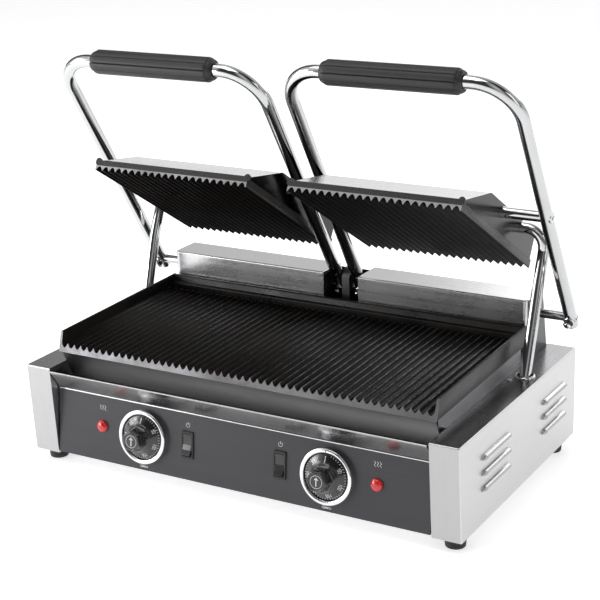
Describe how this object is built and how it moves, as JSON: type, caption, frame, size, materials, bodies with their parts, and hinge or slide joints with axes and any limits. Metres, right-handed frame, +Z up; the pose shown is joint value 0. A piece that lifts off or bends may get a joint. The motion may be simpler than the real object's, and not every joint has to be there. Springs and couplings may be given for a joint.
{
  "type": "panini press",
  "caption": "Double contact grill with ribbed plates, two lift-up lids on tubular handles, dials, rocker switches and a front drip tray.",
  "frame": {"origin": "centre of the object's bounding box at the height of the surface the feet stand on", "axes": "+Z up, +X to the user's right, the user stands on the -Y side facing the controls"},
  "size_m": [0.5996, 0.3676, 0.4976],
  "materials": {
    "stainless": "brushed, satin",
    "inner_steel": "mill finish",
    "panel_grey": "satin powder coat",
    "cast_plate": "seasoned, semi-matt",
    "black_steel": "semi-matt",
    "dark_cap": "gloss",
    "chrome": "polished",
    "bright_steel": "polished",
    "grip_black": "satin, moulded",
    "knob_black": "satin gloss",
    "switch_black": "gloss",
    "lamp_red": "translucent gloss",
    "foot_rubber": "matt",
    "element": "oxidised sheath",
    "insulation": "fibrous board",
    "brass": "turned",
    "white_ceramic": "glazed",
    "spring_steel": "oiled"
  },
  "bodies": {
    "base": {"left_side_housing": "stainless", "right_side_housing": "stainless", "control_panel": "panel_grey", "dial_bezels": "bright_steel", "front_apron": "stainless", "lower_grill_plate": "cast_plate", "plate_support_frame": "black_steel", "lower_insulation": "insulation", "deck_panel": "stainless", "rear_housing_cover": "stainless", "center_bracket": "black_steel", "shaft_bushes": "black_steel", "feet": "foot_rubber", "bottom_panel": "inner_steel", "back_panel": "stainless", "cable_gland": "grip_black", "terminal_block": "white_ceramic", "conduit_collars": "chrome", "case_screws": "bright_steel", "thermostat_left": "inner_steel", "switch_housing_left": "switch_black", "indicator_lamp_left": "lamp_red", "lower_heater_left": "element", "counterbalance_spring_left": "spring_steel", "thermostat_right": "inner_steel", "switch_housing_right": "switch_black", "indicator_lamp_right": "lamp_red", "lower_heater_right": "element", "counterbalance_spring_right": "spring_steel"},
    "tray": {"drip_tray": "stainless"},
    "knob_left": {"temperature_knob_left": "knob_black", "thermostat_spindle_left": "brass"},
    "switch_left": {"rocker_left": "switch_black"},
    "lid_left": {"handle_tube_left": "chrome", "handle_grip_left": "grip_black", "lid_shaft_left": "chrome", "clamp_bolts_left": "bright_steel", "pivot_rod_left": "chrome"},
    "upper_left": {"upper_grill_plate_left": "cast_plate", "upper_side_caps_left": "dark_cap", "upper_cover_left": "stainless", "upper_heater_left": "element", "upper_insulation_left": "insulation", "conduit_tube_left": "chrome"},
    "knob_right": {"temperature_knob_right": "knob_black", "thermostat_spindle_right": "brass"},
    "switch_right": {"rocker_right": "switch_black"},
    "lid_right": {"handle_tube_right": "chrome", "handle_grip_right": "grip_black", "lid_shaft_right": "chrome", "clamp_bolts_right": "bright_steel", "pivot_rod_right": "chrome"},
    "upper_right": {"upper_grill_plate_right": "cast_plate", "upper_side_caps_right": "dark_cap", "upper_cover_right": "stainless", "upper_heater_right": "element", "upper_insulation_right": "insulation", "conduit_tube_right": "chrome"}
  },
  "joints": [
    {"name": "drip_tray_slide", "type": "slide", "parent": "base", "child": "tray", "axis": [0, -1, 0], "range_m": [0, 0.12]},
    {"name": "knob_left_turn", "type": "hinge", "parent": "base", "child": "knob_left", "pos_m": [-0.123, -0.15522, 0.05904], "axis": [0, 0.9938, -0.1108], "range_deg": [0, 290]},
    {"name": "rocker_left_tip", "type": "hinge", "parent": "base", "child": "switch_left", "pos_m": [-0.0618, -0.1522, 0.05911], "axis": [1, 0, 0], "range_deg": [0, 16]},
    {"name": "lid_left_close", "type": "hinge", "parent": "base", "child": "lid_left", "pos_m": [-0.2735, 0.13324, 0.1775], "axis": [1, 0, 0], "range_deg": [0, 54.1]},
    {"name": "upper_left_tilt", "type": "hinge", "parent": "lid_left", "child": "upper_left", "pos_m": [-0.134, 0.0449, 0.31778], "axis": [1, 0, 0], "range_deg": [-20.9, 0]},
    {"name": "knob_right_turn", "type": "hinge", "parent": "base", "child": "knob_right", "pos_m": [0.123, -0.15522, 0.05904], "axis": [0, 0.9938, -0.1108], "range_deg": [0, 290]},
    {"name": "rocker_right_tip", "type": "hinge", "parent": "base", "child": "switch_right", "pos_m": [0.0618, -0.1522, 0.05911], "axis": [1, 0, 0], "range_deg": [0, 16]},
    {"name": "lid_right_close", "type": "hinge", "parent": "base", "child": "lid_right", "pos_m": [0.2735, 0.13324, 0.1775], "axis": [1, 0, 0], "range_deg": [0, 55.7]},
    {"name": "upper_right_tilt", "type": "hinge", "parent": "lid_right", "child": "upper_right", "pos_m": [0.134, 0.04885, 0.32019], "axis": [1, 0, 0], "range_deg": [-23.65, 0]}
  ],
  "couplings": [
    {"joint": "upper_left_tilt", "follows": "lid_left_close", "ratio": -0.38267},
    {"joint": "upper_right_tilt", "follows": "lid_right_close", "ratio": -0.42105}
  ]
}
